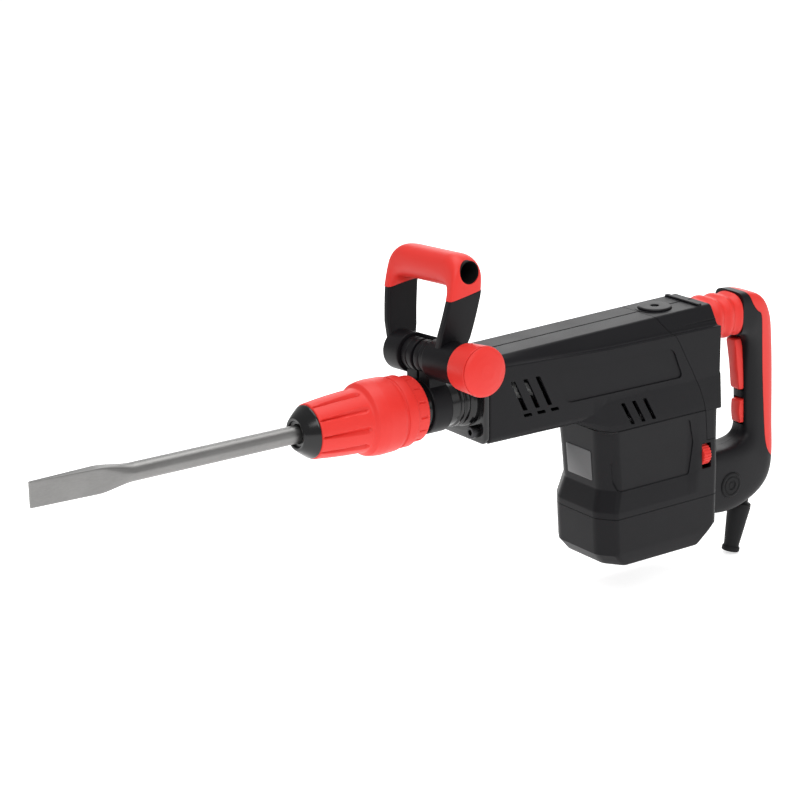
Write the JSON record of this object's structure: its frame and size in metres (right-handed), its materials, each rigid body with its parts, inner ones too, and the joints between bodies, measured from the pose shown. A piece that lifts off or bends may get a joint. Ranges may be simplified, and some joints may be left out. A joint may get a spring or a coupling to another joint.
{
  "type": "demolition hammer",
  "caption": "Electric demolition hammer with a flat chisel, locking sleeve, loop side handle, damped D-handle with trigger, and a geared crank striking mechanism.",
  "frame": {"origin": "centre of the motor cap's flat base", "axes": "+X from the chisel towards the rear handle, along the tool axis; +Z from the motor cap towards the roof; the side handle's knob points to -Y"},
  "size_m": [0.905, 0.169, 0.4118],
  "materials": {
    "casing": "black glass-filled nylon with a fine grain",
    "red_grip": "bright red moulded rubber and plastic, satin",
    "gloss_black": "gloss black coating on cast metal",
    "steel": "ground and bead-blasted tool steel",
    "dark_steel": "black oxide",
    "aluminium": "die-cast, unpainted",
    "copper": "copper windings and segments",
    "black_rubber": "matte black rubber"
  },
  "bodies": {
    "housing": {"barrel_neck": "gloss_black", "holder_bush": "aluminium", "flange_screw_1": "dark_steel", "flange_screw_2": "dark_steel", "flange_screw_3": "dark_steel", "flange_screw_4": "dark_steel", "casing_left": "casing", "casing_right": "casing", "rear_cover": "casing", "motor_housing": "casing", "motor_cap": "casing", "grease_cap": "casing", "cylinder": "steel", "crank_bearing": "steel", "bearing_plate": "aluminium", "stator": "dark_steel", "armature_bearing_top": "steel", "armature_bearing_bottom": "steel", "brush_holder_left": "aluminium", "brush_holder_right": "aluminium", "carbon_brush_left": "dark_steel", "carbon_brush_right": "dark_steel", "handle_pivot_pin": "steel", "bellows": "red_grip", "damping_spring": "steel"},
    "holder": {"tool_holder": "steel", "locking_roller_left": "dark_steel", "locking_roller_right": "dark_steel", "dust_cap": "gloss_black", "index_ring": "red_grip", "sleeve_spring": "steel"},
    "sleeve": {"locking_sleeve": "red_grip"},
    "chisel": {"chisel": "steel"},
    "striker": {"striker": "steel"},
    "ram": {"ram": "dark_steel", "ram_seal": "black_rubber"},
    "piston": {"piston": "aluminium", "wrist_pin": "steel"},
    "rod": {"connecting_rod": "aluminium"},
    "crank": {"crank_shaft": "steel", "crank_gear": "dark_steel"},
    "rotor": {"armature_shaft": "steel", "armature_core": "copper", "commutator": "copper", "cooling_fan": "casing"},
    "clamp": {"clamp_band": "gloss_black", "clamp_bolt": "dark_steel"},
    "loop": {"loop_frame": "casing", "loop_grip": "red_grip"},
    "knob": {"clamp_knob": "red_grip"},
    "handle": {"handle_shell_left": "casing", "handle_shell_right": "casing", "handle_overmould": "red_grip", "pivot_cap_left": "black_rubber", "pivot_cap_right": "black_rubber", "switch_module": "black_rubber", "cord_boot": "black_rubber"},
    "trigger": {"trigger": "red_grip"},
    "button": {"lock_button": "red_grip"},
    "dial": {"speed_dial": "red_grip"}
  },
  "joints": [
    {"name": "index_turn", "type": "hinge", "parent": "housing", "child": "holder", "pos_m": [-0.3, 0, 0.21], "axis": [1, 0, 0], "continuous": true},
    {"name": "sleeve_slide", "type": "slide", "parent": "holder", "child": "sleeve", "axis": [1, 0, 0], "range_m": [0, 0.008], "stiffness_N_per_m": 800, "springref_m": -0.004, "deforming": ["sleeve_spring"]},
    {"name": "chisel_slide", "type": "slide", "parent": "holder", "child": "chisel", "axis": [-1, 0, 0], "range_m": [0, 0.02]},
    {"name": "striker_slide", "type": "slide", "parent": "housing", "child": "striker", "axis": [-1, 0, 0], "range_m": [0, 0.02]},
    {"name": "ram_slide", "type": "slide", "parent": "housing", "child": "ram", "axis": [1, 0, 0], "range_m": [-0.011, 0.012]},
    {"name": "piston_slide", "type": "slide", "parent": "housing", "child": "piston", "axis": [1, 0, 0], "range_m": [-0.04, 0]},
    {"name": "rod_swing", "type": "hinge", "parent": "piston", "child": "rod", "pos_m": [-0.09415, 0, 0.21], "axis": [0, 0, 1], "range_deg": [-14.5, 14.5]},
    {"name": "rotor_spin", "type": "hinge", "parent": "housing", "child": "rotor", "pos_m": [0.00785, 0, 0.1], "axis": [0, 0, 1], "continuous": true},
    {"name": "crank_spin", "type": "hinge", "parent": "housing", "child": "crank", "pos_m": [-0.03415, 0, 0.18], "axis": [0, 0, 1], "continuous": true},
    {"name": "clamp_swivel", "type": "hinge", "parent": "housing", "child": "clamp", "pos_m": [-0.26715, 0, 0.21], "axis": [1, 0, 0], "continuous": true},
    {"name": "loop_tilt", "type": "hinge", "parent": "clamp", "child": "loop", "pos_m": [-0.26715, 0.00297, 0.25991], "axis": [0, 0.9982, -0.0593], "range_deg": [-85, 26]},
    {"name": "knob_turn", "type": "hinge", "parent": "clamp", "child": "knob", "pos_m": [-0.26715, 0.00297, 0.25991], "axis": [0, 0.9982, -0.0593], "continuous": true},
    {"name": "handle_flex", "type": "hinge", "parent": "housing", "child": "handle", "pos_m": [0.12585, 0, 0.047], "axis": [0, 1, 0], "range_deg": [-1.2, 0.6], "stiffness_Nm_per_rad": 600, "deforming": ["bellows", "damping_spring"]},
    {"name": "trigger_press", "type": "hinge", "parent": "handle", "child": "trigger", "pos_m": [0.15785, 0, 0.204], "axis": [0, -1, 0], "range_deg": [0, 4], "stiffness_Nm_per_rad": 4, "springref_deg": -1.72},
    {"name": "lock_button_press", "type": "slide", "parent": "handle", "child": "button", "axis": [1, 0, 0], "range_m": [0, 0.003], "stiffness_N_per_m": 400, "springref_m": -0.002},
    {"name": "dial_turn", "type": "hinge", "parent": "housing", "child": "dial", "pos_m": [0.06385, -0.0405, 0.101], "axis": [1, 0, 0], "range_deg": [0, 300]}
  ],
  "couplings": [
    {"joint": "striker_slide", "follows": "chisel_slide", "ratio": 1},
    {"joint": "crank_spin", "follows": "rotor_spin", "ratio": -0.2}
  ]
}
